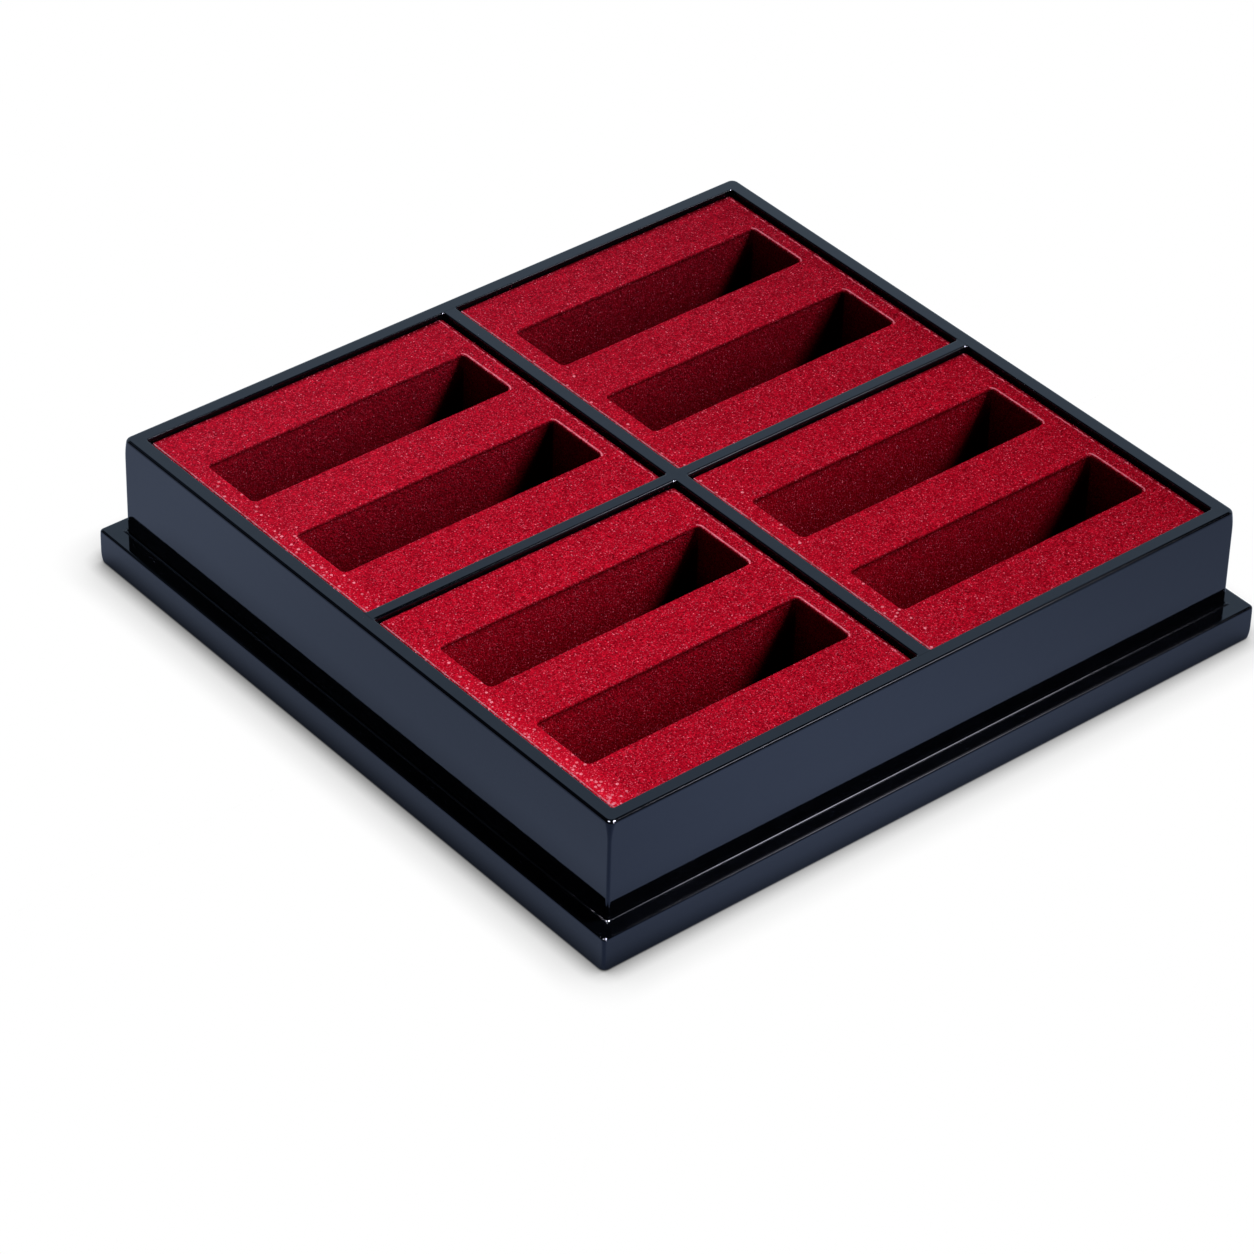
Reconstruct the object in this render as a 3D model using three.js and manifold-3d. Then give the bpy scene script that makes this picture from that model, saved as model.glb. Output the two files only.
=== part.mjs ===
// Stacking jewellery box: a lacquered tray on its own low base, with four lift-out flocked inserts.
// Millimetres, +Z up. The origin is the middle of the base's underside, where the base stands.
// X runs along the slots of the inserts, and the front of the box faces -Y.

import * as THREE from 'three';
import { mergeVertices } from 'three/addons/utils/BufferGeometryUtils.js';
import Module from 'manifold-3d';

const wasm = await Module();
wasm.setup();

// Tray: four mitred walls round a grooved floor, with two crossed dividers.
const trayLength = 240;
const trayWidth = 231;
const trayHeight = 35.8;
const wallThickness = 5;
const trayCornerRadius = 1.5;
const rimOuterRounding = 1.1;
const rimInnerRounding = 0.5;
const floorThickness = 3;
const floorRise = 1.5;
const floorGrooveDepth = 2;
const floorPlay = 0.3;
const dividerThickness = 4.6;
const dividerRounding = 0.5;
const tenonReach = 2;
const tenonShoulder = 5;
const tenonPlay = 0.3;
const lapPlay = 0.15;

// Base: four mitred rails round a panel, with a bead that the tray stands inside.
const plinthHeight = 11.9;
const plinthProjection = 6.15;
const plinthCornerRadius = 2;
const plinthTopRounding = 1;
const plinthFootRounding = 1.8;
const beadHeight = 1.5;
const beadThickness = 0.9;
const beadRounding = 0.4;
const seatDepth = 2;
const seatPlay = 0.35;
const railReach = 9;
const recessDepth = 3;
const recessPlay = 0.5;
const panelGrooveDepth = 3.3;
const panelPlay = 0.3;
const feltThickness = 0.8;
const feltMargin = 0.3;

// Inserts: each a foam core on a card, under one flocked cover that also lines its two slots.
const insertRecess = 1.5;
const insertPlayLong = 1.1;
const insertPlayWide = 0.4;
const insertCornerRadius = 2.5;
const slotEndMargin = 6.25;
const slotSideMargin = 20;
const slotRib = 21;
const slotCornerRadius = 1.8;
const coverThickness = 0.8;
const coverRounding = 1.2;
const coverPlay = 0.3;
const cardThickness = 1.2;

// Joinery that the lacquer hides, as shares of the piece that carries it.
const splineWidthShare = 0.64;
const splineThicknessShare = 0.28;
const splinePlaceShare = 0.56;
const splineHeightShare = 0.8;
const biscuitLengthShare = 0.7;
const biscuitWidthShare = 0.45;
const biscuitThicknessShare = 0.34;
const biscuitPlaceShare = 0.46;
const tongueShare = 0.34;
const joineryPlay = 0.25;

// A sharp inner corner keeps this much of a radius, and a cut runs this far past what it cuts.
const leastRadius = 0.3;
const overrun = 1;

// How finely round stretches are divided.
const cornerSteps = 4;
const edgeSteps = 4;
const curveSegments = 2;
const biscuitSegments = 8;

// Levels above the table, and places worked out from the sizes above.
const halfLength = trayLength / 2;
const halfWidth = trayWidth / 2;
const seatLevel = plinthHeight - seatDepth;
const trayFoot = seatLevel + feltThickness;
const rimLevel = trayFoot + trayHeight;
const floorUnder = trayFoot + floorRise;
const floorTop = floorUnder + floorThickness;
const beadLevel = plinthHeight + beadHeight;
const beadFace = seatPlay + beadThickness;
const railWidth = plinthProjection + railReach;
const panelThickness = seatLevel - recessDepth;
const tongueThickness = panelThickness * tongueShare;
const tongueUnder = recessDepth + (panelThickness - tongueThickness) / 2;
const cellLength = halfLength - wallThickness - dividerThickness / 2;
const cellWidth = halfWidth - wallThickness - dividerThickness / 2;
const insertLength = cellLength - 2 * insertPlayLong;
const insertWidth = cellWidth - 2 * insertPlayWide;
const slotLength = insertLength - 2 * slotEndMargin;
const slotWidth = (insertWidth - 2 * slotSideMargin - slotRib) / 2;
const slotPitch = slotWidth + slotRib;
const insertTop = rimLevel - insertRecess;
const cardTop = floorTop + cardThickness;
const foamTop = insertTop - coverThickness;
const biscuitOutwards = plinthProjection - railWidth * biscuitPlaceShare;
const splineOutwards = -wallThickness * splinePlaceShare;
const acrossMitre = Math.PI / 2;

/** A closed three.js geometry as a solid that can be joined and cut. */
function toSolid(geometry) {
  const bare = geometry.clone();
  bare.deleteAttribute('normal');
  bare.deleteAttribute('uv');
  const merged = mergeVertices(bare);
  const vertProperties = Float32Array.from(merged.attributes.position.array);
  const triVerts = Uint32Array.from(merged.index.array);
  return new wasm.Manifold(new wasm.Mesh({ numProp: 3, vertProperties, triVerts }));
}

/** A solid as a three.js geometry with flat normals. */
function toGeometry(solid) {
  const { vertProperties, triVerts } = solid.getMesh();
  const indexed = new THREE.BufferGeometry();
  indexed.setAttribute('position', new THREE.BufferAttribute(Float32Array.from(vertProperties), 3));
  indexed.setIndex(new THREE.BufferAttribute(Uint32Array.from(triVerts), 1));
  const geometry = indexed.toNonIndexed();
  geometry.computeVertexNormals();
  return geometry;
}

/** A box between two levels, with its middle at a place in plan. */
function block(length, width, low, high, centreX = 0, centreY = 0) {
  const box = new THREE.BoxGeometry(length, width, high - low);
  return box.translate(centreX, centreY, (low + high) / 2);
}

/** Draws a rectangle with round corners, counter-clockwise, on a shape or on the path of a hole. */
function drawRectangle(outline, length, width, radius, centreY = 0) {
  const x = length / 2 - radius;
  const y = width / 2 - radius;
  outline.absarc(x, centreY + y, radius, 0, Math.PI / 2);
  outline.absarc(-x, centreY + y, radius, Math.PI / 2, Math.PI);
  outline.absarc(-x, centreY - y, radius, Math.PI, Math.PI * 1.5);
  outline.absarc(x, centreY - y, radius, Math.PI * 1.5, Math.PI * 2);
  outline.closePath();
  return outline;
}

/** An outline in plan, extruded straight up between two levels. */
function extruded(outline, low, high) {
  const options = { depth: high - low, bevelEnabled: false, curveSegments };
  return new THREE.ExtrudeGeometry(outline, options).translate(0, 0, low);
}

/** A flat sheet with round corners between two levels. */
function sheet(length, width, radius, low, high) {
  const outline = drawRectangle(new THREE.Shape(), length, width, radius);
  return extruded(outline, low, high);
}

/** Adds a quarter-round edge to a section: its centre, its radius and the angle that it starts from. */
function quarterRound(outline, x, z, radius, start) {
  outline.absarc(x, z, radius, start, start + Math.PI / 2);
}

/** The radius in plan of a corner at some distance outside the tray's outer face. */
function cornerRadiusAt(outwards) {
  const aroundTray = trayCornerRadius + outwards;
  const aroundPlinth = plinthCornerRadius + outwards - plinthProjection;
  return Math.max(leastRadius, outwards > beadFace ? aroundPlinth : aroundTray);
}

/**
 * One mitred side of a frame. The section is drawn with x outwards from the tray's outer face and y up.
 * It is extruded in steps, and each step is laid on the side's path: half of one round corner, the
 * straight run, and half of the next corner, so that both ends lie on the corners' diagonals.
 * The side is made as the one that faces +Y.
 */
function mitredSide(section, along, away) {
  const steps = 2 * cornerSteps + 1;
  const options = { depth: 1, steps, bevelEnabled: false, curveSegments: edgeSteps / 2 };
  const geometry = new THREE.ExtrudeGeometry(section, options);
  const position = geometry.attributes.position;
  for (let i = 0; i < position.count; i += 1) {
    const outwards = position.getX(i);
    const level = position.getY(i);
    const station = Math.round(position.getZ(i) * steps);
    const side = station > cornerSteps ? 1 : -1;
    const fromStraight = side > 0 ? station - cornerSteps - 1 : cornerSteps - station;
    const turn = (fromStraight / cornerSteps) * (Math.PI / 4);
    const radius = cornerRadiusAt(outwards);
    const x = side * (along + outwards - radius + radius * Math.sin(turn));
    const y = away + outwards - radius + radius * Math.cos(turn);
    position.setXYZ(i, x, y, level);
  }
  return geometry;
}

/** Turns a side that faces +Y to face one of the four ways, with exact numbers. */
function facing(geometry, way) {
  const position = geometry.attributes.position;
  const turns = {
    back: (x, y) => [x, y],
    front: (x, y) => [-x, -y],
    right: (x, y) => [y, -x],
    left: (x, y) => [-y, x],
  };
  for (let i = 0; i < position.count; i += 1) {
    const [x, y] = turns[way](position.getX(i), position.getY(i));
    position.setXY(i, x, y);
  }
  geometry.computeVertexNormals();
  return geometry;
}

/** The section of a base rail: rounded plinth, bead, seat, groove for the panel and recess below. */
function railSection() {
  const outline = new THREE.Shape();
  const footX = plinthProjection - plinthFootRounding;
  outline.moveTo(recessPlay, 0);
  outline.lineTo(footX, 0);
  quarterRound(outline, footX, plinthFootRounding, plinthFootRounding, -Math.PI / 2);
  const topX = plinthProjection - plinthTopRounding;
  quarterRound(outline, topX, plinthHeight - plinthTopRounding, plinthTopRounding, 0);
  outline.lineTo(beadFace, plinthHeight);
  quarterRound(outline, beadFace - beadRounding, beadLevel - beadRounding, beadRounding, 0);
  outline.lineTo(seatPlay, beadLevel);
  outline.lineTo(seatPlay, seatLevel);
  outline.lineTo(-railReach, seatLevel);
  outline.lineTo(-railReach, tongueUnder + tongueThickness + panelPlay);
  outline.lineTo(-railReach + panelGrooveDepth, tongueUnder + tongueThickness + panelPlay);
  outline.lineTo(-railReach + panelGrooveDepth, tongueUnder);
  outline.lineTo(-railReach, tongueUnder);
  outline.lineTo(-railReach, recessDepth);
  outline.lineTo(recessPlay, recessDepth);
  outline.closePath();
  return outline;
}

/** The section of a tray wall: rounded rim, plain outer face and a groove for the floor. */
function wallSection() {
  const outline = new THREE.Shape();
  outline.moveTo(-wallThickness, trayFoot);
  outline.lineTo(0, trayFoot);
  quarterRound(outline, -rimOuterRounding, rimLevel - rimOuterRounding, rimOuterRounding, 0);
  const innerEdge = -wallThickness + rimInnerRounding;
  quarterRound(outline, innerEdge, rimLevel - rimInnerRounding, rimInnerRounding, Math.PI / 2);
  outline.lineTo(-wallThickness, floorTop + floorPlay);
  outline.lineTo(-wallThickness + floorGrooveDepth, floorTop + floorPlay);
  outline.lineTo(-wallThickness + floorGrooveDepth, floorUnder);
  outline.lineTo(-wallThickness, floorUnder);
  outline.closePath();
  return outline;
}

/** A flat oval of wood that is let into both rails of a corner, lying level and along the mitre. */
function biscuit(play) {
  const length = railWidth * biscuitLengthShare + 2 * play;
  const width = railWidth * biscuitWidthShare + 2 * play;
  const thickness = panelThickness * biscuitThicknessShare + 2 * play;
  const outline = new THREE.Shape();
  outline.absellipse(0, 0, length / 2, width / 2, 0, 2 * Math.PI);
  const options = { depth: thickness, bevelEnabled: false, curveSegments: biscuitSegments };
  const oval = new THREE.ExtrudeGeometry(outline, options);
  return oval.translate(0, 0, recessDepth + (panelThickness - thickness) / 2);
}

/** An upright strip of wood across a mitred corner of the tray, square to the mitre. */
function spline(play) {
  const width = wallThickness * splineWidthShare + 2 * play;
  const thickness = wallThickness * splineThicknessShare + 2 * play;
  const top = trayFoot + trayHeight * splineHeightShare;
  return block(width, thickness, trayFoot - (play > 0 ? overrun : 0), top + play);
}

/** Puts a piece of corner joinery on the diagonal of a corner, turned to match that corner. */
function atCorner(geometry, outwards, along, away, signX, signY, quarterTurn) {
  geometry.rotateZ(signX * signY * (Math.PI / 4) + quarterTurn);
  return geometry.translate(signX * (along + outwards), signY * (away + outwards), 0);
}

/** A base rail, with a pocket for half a biscuit in each end. */
function baseRail(along, away, way) {
  let rail = toSolid(mitredSide(railSection(), along, away));
  for (const side of [-1, 1]) {
    rail = rail.subtract(toSolid(atCorner(biscuit(joineryPlay), biscuitOutwards, along, away, side, 1, 0)));
  }
  return facing(toGeometry(rail), way);
}

/** A tray wall, with half of a spline groove in each end and a mortise for the divider that meets it. */
function trayWall(along, away, way) {
  let wall = toSolid(mitredSide(wallSection(), along, away));
  for (const side of [-1, 1]) {
    const groove = atCorner(spline(joineryPlay), splineOutwards, along, away, side, 1, acrossMitre);
    wall = wall.subtract(toSolid(groove));
  }
  const deep = tenonReach + tenonPlay;
  const low = floorTop + tenonShoulder - tenonPlay;
  const high = rimLevel - tenonShoulder + tenonPlay;
  const middle = away - wallThickness + (deep - overrun) / 2;
  const mortise = block(dividerThickness + 2 * tenonPlay, deep + overrun, low, high, 0, middle);
  return facing(toGeometry(wall.subtract(toSolid(mortise))), way);
}

/** A divider along Y with a rounded top edge, a tenon at each end and a half lap in its middle. */
function divider(span, notchLow, notchHigh) {
  const section = new THREE.Shape();
  const side = dividerThickness / 2;
  section.moveTo(-side, floorTop);
  section.lineTo(side, floorTop);
  quarterRound(section, side - dividerRounding, rimLevel - dividerRounding, dividerRounding, 0);
  quarterRound(section, dividerRounding - side, rimLevel - dividerRounding, dividerRounding, Math.PI / 2);
  section.closePath();
  const board = new THREE.ExtrudeGeometry(section, { depth: span, bevelEnabled: false, curveSegments });
  board.translate(0, 0, -span / 2).rotateX(Math.PI / 2);
  const low = floorTop + tenonShoulder;
  const tenons = block(dividerThickness, span + 2 * tenonReach, low, rimLevel - tenonShoulder);
  const notch = block(dividerThickness + 2 * overrun, dividerThickness + 2 * lapPlay, notchLow, notchHigh);
  return toGeometry(toSolid(board).add(toSolid(tenons)).subtract(toSolid(notch)));
}

/** The base's panel: a flat board with a tongue all round that lies in the rails' groove. */
function basePanel() {
  const body = railReach + panelPlay;
  const tongue = railReach - panelGrooveDepth + panelPlay;
  const board = block(trayLength - 2 * body, trayWidth - 2 * body, recessDepth, seatLevel);
  const tongueTop = tongueUnder + tongueThickness;
  const lip = block(trayLength - 2 * tongue, trayWidth - 2 * tongue, tongueUnder, tongueTop);
  return toGeometry(toSolid(board).add(toSolid(lip)));
}

/** A rectangle with the two slots of an insert as holes, each wider all round by a margin. */
function slottedOutline(length, width, radius, margin) {
  const outline = drawRectangle(new THREE.Shape(), length, width, radius);
  for (const side of [-1, 1]) {
    const long = slotLength + 2 * margin;
    const wide = slotWidth + 2 * margin;
    const radiusThere = slotCornerRadius + margin;
    outline.holes.push(drawRectangle(new THREE.Path(), long, wide, radiusThere, side * (slotPitch / 2)));
  }
  return outline;
}

/** The flocked cover: top, sides and slot linings in one skin, with rounded top edges and slot lips. */
function insertCover() {
  const outline = slottedOutline(insertLength, insertWidth, insertCornerRadius, 0);
  const height = insertTop - cardTop;
  const skin = new THREE.ExtrudeGeometry(outline, {
    depth: height - coverRounding,
    bevelThickness: coverRounding,
    bevelSize: coverRounding,
    bevelOffset: -coverRounding,
    bevelSegments: edgeSteps - 1,
    curveSegments,
  });
  skin.translate(0, 0, cardTop);
  const long = insertLength + 2 * overrun;
  const wide = insertWidth + 2 * overrun;
  const below = block(long, wide, cardTop - coverRounding - overrun, cardTop);
  const cavity = foamCore(coverThickness, cardTop - overrun);
  return toGeometry(toSolid(skin).subtract(toSolid(below)).subtract(toSolid(cavity)));
}

/** The foam core's shape, set in from the cover's outside by a margin and standing on a level. */
function foamCore(margin, low) {
  const radius = insertCornerRadius - coverThickness;
  const long = insertLength - 2 * margin;
  const wide = insertWidth - 2 * margin;
  const outline = slottedOutline(long, wide, radius, margin);
  return extruded(outline, low, foamTop);
}

/** Black polished lacquer over wood. */
function lacquer() {
  return new THREE.MeshStandardMaterial({ color: 0x232a35, roughness: 0.12, metalness: 0 });
}

/** Bare wood of the joinery that does not show. */
function bareWood() {
  return new THREE.MeshStandardMaterial({ color: 0xb08a5c, roughness: 0.7, metalness: 0 });
}

/** Dark felt, in the seat and on the underside. */
function felt() {
  return new THREE.MeshStandardMaterial({ color: 0x2a1216, roughness: 1, metalness: 0 });
}

/** Red flock with a fine sparkle. */
function flock() {
  return new THREE.MeshStandardMaterial({ color: 0xae122b, roughness: 0.9, metalness: 0 });
}

/** Grey foam inside an insert. */
function foam() {
  return new THREE.MeshStandardMaterial({ color: 0x4a4a4c, roughness: 1, metalness: 0 });
}

/** Stiff card under an insert. */
function card() {
  return new THREE.MeshStandardMaterial({ color: 0x6f675c, roughness: 0.9, metalness: 0 });
}

/** Adds one named piece to a group. */
function addPiece(group, name, geometry, material) {
  const piece = new THREE.Mesh(geometry, material);
  piece.name = name;
  group.add(piece);
}

const sides = {
  front: [halfLength, halfWidth],
  back: [halfLength, halfWidth],
  left: [halfWidth, halfLength],
  right: [halfWidth, halfLength],
};

const corners = {
  front_left: [-1, -1],
  front_right: [1, -1],
  back_left: [-1, 1],
  back_right: [1, 1],
};

/** The base: rails, biscuits, panel, the felt that the tray stands on and the felt underneath. */
function buildBase() {
  const base = new THREE.Group();
  for (const [way, [along, away]] of Object.entries(sides)) {
    addPiece(base, `base_rail_${way}`, baseRail(along, away, way), lacquer());
  }
  for (const [corner, [signX, signY]] of Object.entries(corners)) {
    const key = atCorner(biscuit(0), biscuitOutwards, halfLength, halfWidth, signX, signY, 0);
    addPiece(base, `base_biscuit_${corner}`, key, bareWood());
  }
  addPiece(base, 'base_panel', basePanel(), lacquer());
  const seat = 2 * (seatPlay - feltMargin);
  const seatRadius = trayCornerRadius + seatPlay - feltMargin;
  const seatFelt = sheet(trayLength + seat, trayWidth + seat, seatRadius, seatLevel, trayFoot);
  addPiece(base, 'seat_felt', seatFelt, felt());
  const under = 2 * (recessPlay - feltMargin);
  const underRadius = trayCornerRadius + recessPlay - feltMargin;
  const low = recessDepth - feltThickness;
  const underFelt = sheet(trayLength + under, trayWidth + under, underRadius, low, recessDepth);
  addPiece(base, 'underside_felt', underFelt, felt());
  return base;
}

/** The tray: walls, corner splines, floor and the two dividers that are halved into each other. */
function buildTray() {
  const tray = new THREE.Group();
  for (const [way, [along, away]] of Object.entries(sides)) {
    addPiece(tray, `tray_wall_${way}`, trayWall(along, away, way), lacquer());
  }
  for (const [corner, [signX, signY]] of Object.entries(corners)) {
    const key = atCorner(spline(0), splineOutwards, halfLength, halfWidth, signX, signY, acrossMitre);
    addPiece(tray, `corner_spline_${corner}`, key, bareWood());
  }
  const inset = 2 * (wallThickness - floorGrooveDepth + floorPlay);
  const floor = block(trayLength - inset, trayWidth - inset, floorUnder, floorTop);
  addPiece(tray, 'tray_floor', floor, lacquer());
  const middle = (floorTop + rimLevel) / 2;
  const longSpan = trayLength - 2 * wallThickness;
  const crossSpan = trayWidth - 2 * wallThickness;
  const long = divider(longSpan, middle - lapPlay, rimLevel + overrun);
  addPiece(tray, 'divider_long', facing(long, 'right'), lacquer());
  addPiece(tray, 'divider_cross', divider(crossSpan, floorTop - overrun, middle), lacquer());
  return tray;
}

/** The four inserts, each standing in its own cell of the tray. */
function buildInserts() {
  const inserts = new THREE.Group();
  for (const [corner, [signX, signY]] of Object.entries(corners)) {
    const insert = new THREE.Group();
    const margin = coverThickness + coverPlay;
    const cardSheet = sheet(insertLength, insertWidth, insertCornerRadius, floorTop, cardTop);
    addPiece(insert, `insert_${corner}_card`, cardSheet, card());
    addPiece(insert, `insert_${corner}_foam`, foamCore(margin, cardTop), foam());
    addPiece(insert, `insert_${corner}_cover`, insertCover(), flock());
    const x = signX * (dividerThickness + cellLength) / 2;
    const y = signY * (dividerThickness + cellWidth) / 2;
    insert.position.set(x, y, 0);
    inserts.add(insert);
  }
  return inserts;
}

const jewelleryBox = new THREE.Group();
jewelleryBox.add(buildBase(), buildTray(), buildInserts());

export default jewelleryBox;
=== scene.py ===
# %% [markdown]
# # A lacquered jewellery tray with flocked inserts
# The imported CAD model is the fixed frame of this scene, and this file gives it its looks. It sets up the
# camera and the studio, builds the lacquered woodwork, the flocked inserts and the felts as surfaces worked
# out with numpy, and ends with the finishes. Shapes are worked out in millimetres and put in as metres.

# %% Load the frame
import math

import bmesh
import bpy
import numpy as np
from mathutils import Matrix, Vector
from mathutils.geometry import delaunay_2d_cdt


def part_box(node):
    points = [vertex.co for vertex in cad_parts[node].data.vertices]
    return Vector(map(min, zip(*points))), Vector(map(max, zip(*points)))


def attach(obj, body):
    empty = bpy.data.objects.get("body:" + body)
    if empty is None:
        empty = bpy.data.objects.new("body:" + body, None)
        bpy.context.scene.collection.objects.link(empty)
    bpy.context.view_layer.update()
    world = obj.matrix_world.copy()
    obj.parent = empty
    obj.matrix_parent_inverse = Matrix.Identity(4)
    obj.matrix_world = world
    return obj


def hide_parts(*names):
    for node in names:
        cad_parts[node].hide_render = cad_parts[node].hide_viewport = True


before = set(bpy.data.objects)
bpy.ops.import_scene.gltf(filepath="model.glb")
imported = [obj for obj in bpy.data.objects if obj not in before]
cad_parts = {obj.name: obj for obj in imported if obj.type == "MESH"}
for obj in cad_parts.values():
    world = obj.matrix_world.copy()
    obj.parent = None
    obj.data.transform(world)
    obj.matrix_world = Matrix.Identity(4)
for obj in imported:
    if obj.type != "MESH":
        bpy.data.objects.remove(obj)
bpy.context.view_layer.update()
MM = 0.001

# %% [markdown]
# ## Sizes
# The frame says where each part ends, so the main sizes are read from its boxes. Roundings and other small
# sizes are named in the cells that use them, in millimetres where nothing else is said.


# %% Sizes from the frame, in millimetres
def box_mm(node):
    """Lowest and highest corner of a CAD node, in millimetres."""
    low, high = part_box(node)
    return np.array(low) / MM, np.array(high) / MM


wall_low, wall_high = box_mm("tray_wall_back")
rail_low, rail_high = box_mm("base_rail_back")
TRAY = np.array((box_mm("tray_wall_right")[1][0], wall_high[1]))
WALL = wall_high[1] - wall_low[1]
TRAY_FOOT, RIM = wall_low[2], wall_high[2]
FLOOR_UNDER, FLOOR_TOP = box_mm("tray_floor")[0][2], box_mm("tray_floor")[1][2]
LEDGE_OUT = rail_high[1] - TRAY[1]
SEAT = box_mm("seat_felt")[0][2]
DIVIDER = box_mm("divider_cross")[1][0]
LEDGE, BEAD_OUT, BEAD_IN, BEAD_LOWER = 11.9, 0.85, 0.12, 1.15
BEAD_TOP = rail_high[2] - BEAD_LOWER
print("tray half sizes", TRAY.round(2), "wall", round(WALL, 2), "ledge out", round(LEDGE_OUT, 2))

# %% [markdown]
# ## Camera
# The camera stands where the photograph was taken from. Its place, its two axes and its focal length in
# pixels were solved from the straight edges of the box.

# %% Camera
EYE = (-0.847451, -0.976049, 0.969004)
FORWARD = np.array((0.51605905, 0.60705152, -0.60429423))
RIGHT = np.array((0.77302693, -0.63394453, 0.02331737))
FOCAL_PIXELS, IMAGE_PIXELS, SENSOR_MM = 5317.27, 1254, 36.0

camera = bpy.data.objects.new("camera", bpy.data.cameras.new("camera"))
bpy.context.scene.collection.objects.link(camera)
camera.data.sensor_width = SENSOR_MM
camera.data.lens = SENSOR_MM * FOCAL_PIXELS / IMAGE_PIXELS
axes = np.column_stack((RIGHT, np.cross(RIGHT, FORWARD), -FORWARD))
camera.matrix_world = Matrix.Translation(EYE) @ Matrix(axes.tolist()).to_4x4()
bpy.context.scene.camera = camera
bpy.context.scene.view_settings.view_transform = "Standard"
print("lens", round(camera.data.lens, 2), "mm")

# %% [markdown]
# ## Small tools
# Materials are networks of nodes. These helpers fill and add nodes, name the sums that come up most, and
# start a group, a material or an empty tree. The last one adds a mesh object.


# %% Helpers for nodes and objects
MIX_FIRST, MIX_SECOND, MIX_RESULT = 6, 7, 2


def fill(tree, node, inputs):
    """Fills a node's inputs, each with a constant or with another node's socket."""
    for name, value in inputs.items():
        if isinstance(value, bpy.types.NodeSocket):
            tree.links.new(value, node.inputs[name])
        else:
            node.inputs[name].default_value = value


def add_node(tree, kind, inputs=None, **settings):
    """Adds a node, sets its properties and fills its inputs."""
    node = tree.nodes.new("ShaderNode" + kind)
    for name, value in settings.items():
        setattr(node, name, value)
    fill(tree, node, inputs or {})
    return node


def compute(tree, operation, a, b=0.0, extra=0.0):
    """One Math node's result."""
    return add_node(tree, "Math", {0: a, 1: b, 2: extra}, operation=operation).outputs[0]


def multiply(tree, a, b):
    """Two values multiplied."""
    return compute(tree, "MULTIPLY", a, b)


def scaled(tree, value, factor, extra):
    """A value times a factor, and something added."""
    return compute(tree, "MULTIPLY_ADD", value, factor, extra)


def vectors(tree, operation, inputs, output="Vector"):
    """One Vector Math node's result."""
    return add_node(tree, "VectorMath", inputs, operation=operation).outputs[output]


def ramp(tree, value, low, high, to_low=0.0, to_high=1.0):
    """A value's range carried smoothly to another range."""
    inputs = {"Value": value, "From Min": low, "From Max": high, "To Min": to_low, "To Max": to_high}
    return add_node(tree, "MapRange", inputs, interpolation_type="SMOOTHSTEP").outputs["Result"]


def mix_colours(tree, share, first, second):
    """Two colours blended by a share. The Mix node knows its colour sockets by number only."""
    first, second = (c if isinstance(c, bpy.types.NodeSocket) else (*c, 1.0) for c in (first, second))
    inputs = {0: share, MIX_FIRST: first, MIX_SECOND: second}
    return add_node(tree, "Mix", inputs, data_type="RGBA").outputs[MIX_RESULT]


def mix_shaders(tree, share, first, second):
    """A node that blends two shaders by a share."""
    return add_node(tree, "MixShader", {0: share, 1: first.outputs[0], 2: second.outputs[0]})


def bump(tree, height, distance, strength=1.0):
    """A Bump node's normal. The distance is in metres."""
    inputs = {"Height": height, "Distance": distance, "Strength": strength}
    return add_node(tree, "Bump", inputs).outputs["Normal"]


def start_group(name, numbers, outputs):
    """A shader node group that is given a place and numbers and puts out numbers, and its two end nodes."""
    tree = bpy.data.node_groups.new(name, "ShaderNodeTree")
    tree.interface.new_socket("Place", in_out="INPUT", socket_type="NodeSocketVector")
    for socket, value in numbers.items():
        made = tree.interface.new_socket(socket, in_out="INPUT", socket_type="NodeSocketFloat")
        made.default_value = value
    for socket in outputs:
        tree.interface.new_socket(socket, in_out="OUTPUT", socket_type="NodeSocketFloat")
    return tree, tree.nodes.new("NodeGroupInput").outputs, tree.nodes.new("NodeGroupOutput")


def start_material(name):
    """A material with its node tree, its principled shader and the Object coordinates."""
    material = bpy.data.materials.new(name)
    material.use_nodes = True
    tree = material.node_tree
    return material, tree, tree.nodes["Principled BSDF"], add_node(tree, "TexCoord").outputs["Object"]


def emptied(owner):
    """The empty node tree of a material or the world, and a Light Path node's outputs in it."""
    owner.use_nodes = True
    owner.node_tree.nodes.clear()
    return owner.node_tree, add_node(owner.node_tree, "LightPath").outputs


def add_object(name, points, faces):
    """A mesh object from points in metres."""
    mesh = bpy.data.meshes.new(name)
    mesh.from_pydata(points.tolist(), [], faces)
    added = bpy.data.objects.new(name, mesh)
    bpy.context.scene.collection.objects.link(added)
    return added


# %% [markdown]
# ## Studio
# The box stands on a white table. One soft lamp high on the right does most of the work and leaves the
# right ends of the slots dark. Gloss sees the table, a white backdrop behind the box up to about 44 degrees,
# eight soft boxes and, between them, the dark of the room, which draws the thin black lines along the
# rounded edges. The studio's sizes are in metres.

# %% Table
TABLE_HALF, TABLE_LEVEL = 6.0, -0.0001
# Four squares lie between three lines of three points.
lines = (-TABLE_HALF, 0.0, TABLE_HALF)
table_points = np.array([(x, y, TABLE_LEVEL) for x in lines for y in lines])
table = add_object("table", table_points, [(p, p + 3, p + 4, p + 1) for p in (0, 1, 3, 4)])
print("table", len(table.data.polygons), "faces")

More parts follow.
